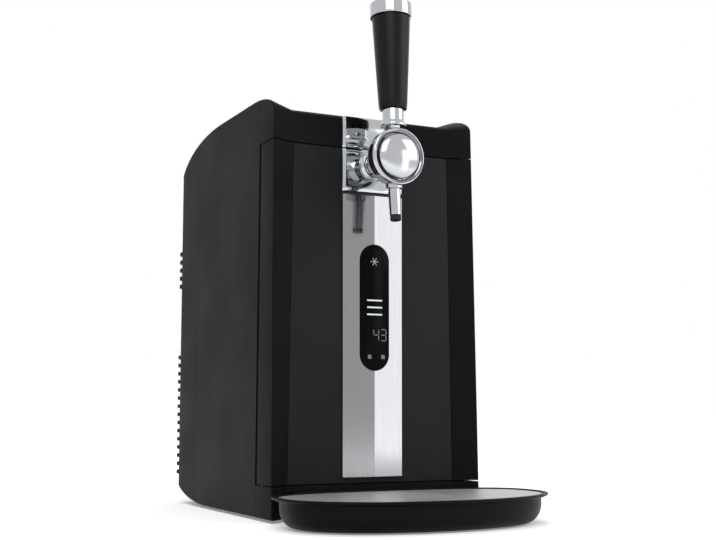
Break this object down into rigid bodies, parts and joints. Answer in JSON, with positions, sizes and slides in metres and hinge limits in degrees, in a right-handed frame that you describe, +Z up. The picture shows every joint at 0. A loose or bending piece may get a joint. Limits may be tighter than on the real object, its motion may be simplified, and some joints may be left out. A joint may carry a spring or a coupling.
{
  "type": "mini keg beer dispenser",
  "caption": "Countertop mini keg beer dispenser: cooled keg chamber behind a hinged door, chrome lever tap on the door, display strip, ribbed back and a pull-off drip tray.",
  "frame": {"origin": "on the surface the machine stands on, at the middle of its footprint with the drip tray in place", "axes": "+Z up, -Y towards the user in front of the tap, +X to the right seen from the front"},
  "size_m": [0.292, 0.497, 0.5429],
  "materials": {
    "casing": "satin anthracite black moulding",
    "front_panel": "smooth satin black",
    "inner_plastic": "matte dark grey moulding",
    "chrome": "polished chrome",
    "brushed_trim": "finely brushed metal",
    "steel": "brushed stainless steel",
    "aluminium": "satin aluminium",
    "foam": "moulded insulation foam",
    "rubber": "matte black rubber",
    "gloss": "gloss black",
    "grip": "satin black",
    "board": "green circuit board",
    "ceramic": "off-white",
    "tray": "satin black moulding"
  },
  "bodies": {
    "housing": {"side_panel_left": "casing", "side_panel_right": "casing", "top_cover": "casing", "top_cap": "casing", "rear_cover": "casing", "base_pan": "inner_plastic", "foot_front_left": "rubber", "foot_front_right": "rubber", "foot_rear_left": "rubber", "foot_rear_right": "rubber", "front_plinth": "casing", "chamber_frame": "inner_plastic", "latch_plate": "steel", "chamber_liner": "aluminium", "insulation_body": "foam", "keg_seat": "rubber", "cold_plate": "aluminium", "thermoelectric_module": "ceramic", "heat_sink": "aluminium", "fan_frame": "grip", "power_supply": "steel", "air_pump": "grip", "air_tube": "ceramic", "air_nozzle": "grip", "power_inlet": "grip", "switch_housing": "grip", "hinge_pin_lower": "steel", "hinge_pin_upper": "steel", "hinge_washer": "ceramic", "cap_trim": "chrome"},
    "door": {"door_shell": "casing", "door_front_panel": "front_panel", "door_insulation": "foam", "door_liner": "inner_plastic", "door_magnet": "steel", "door_gasket": "rubber", "trim_strip": "brushed_trim", "display_lens": "gloss", "display_board": "board", "tap_mount": "chrome", "tap_shank": "chrome", "tap_rosette": "chrome", "tap_body": "chrome", "tap_medallion": "steel", "tap_pivot_pin": "steel", "spout": "chrome", "spout_tip": "rubber"},
    "lever": {"lever_neck": "chrome", "lever_rod": "steel", "lever_grip": "grip", "grip_cap": "chrome"},
    "valve": {"valve_plunger": "rubber"},
    "fan": {"fan_rotor": "grip"},
    "rocker": {"switch_rocker": "gloss"},
    "tray": {"drip_tray": "tray"},
    "plate": {"drip_plate": "steel"}
  },
  "joints": [
    {"name": "door_hinge", "type": "hinge", "parent": "housing", "child": "door", "pos_m": [-0.1135, -0.0435, 0.037], "axis": [0, 0, -1], "range_deg": [0, 88]},
    {"name": "tap_lever", "type": "hinge", "parent": "door", "child": "lever", "pos_m": [0, -0.1125, 0.3775], "axis": [1, 0, 0], "range_deg": [0, 30]},
    {"name": "valve_lift", "type": "slide", "parent": "door", "child": "valve", "axis": [0, 0, -1], "range_m": [0, 0.003]},
    {"name": "fan_spin", "type": "hinge", "parent": "housing", "child": "fan", "pos_m": [0, 0.2235, 0.2], "axis": [0, 1, 0], "continuous": true},
    {"name": "power_switch", "type": "hinge", "parent": "housing", "child": "rocker", "pos_m": [-0.072, 0.235, 0.222], "axis": [1, 0, 0], "range_deg": [0, 10]},
    {"name": "tray_slide", "type": "slide", "parent": "housing", "child": "tray", "axis": [0, -1, 0], "range_m": [0, 0.08]},
    {"name": "plate_lift", "type": "slide", "parent": "tray", "child": "plate", "axis": [0, 0, 1], "range_m": [0, 0.007]}
  ],
  "couplings": [
    {"joint": "valve_lift", "follows": "tap_lever", "m_per_rad": 0.0057}
  ]
}
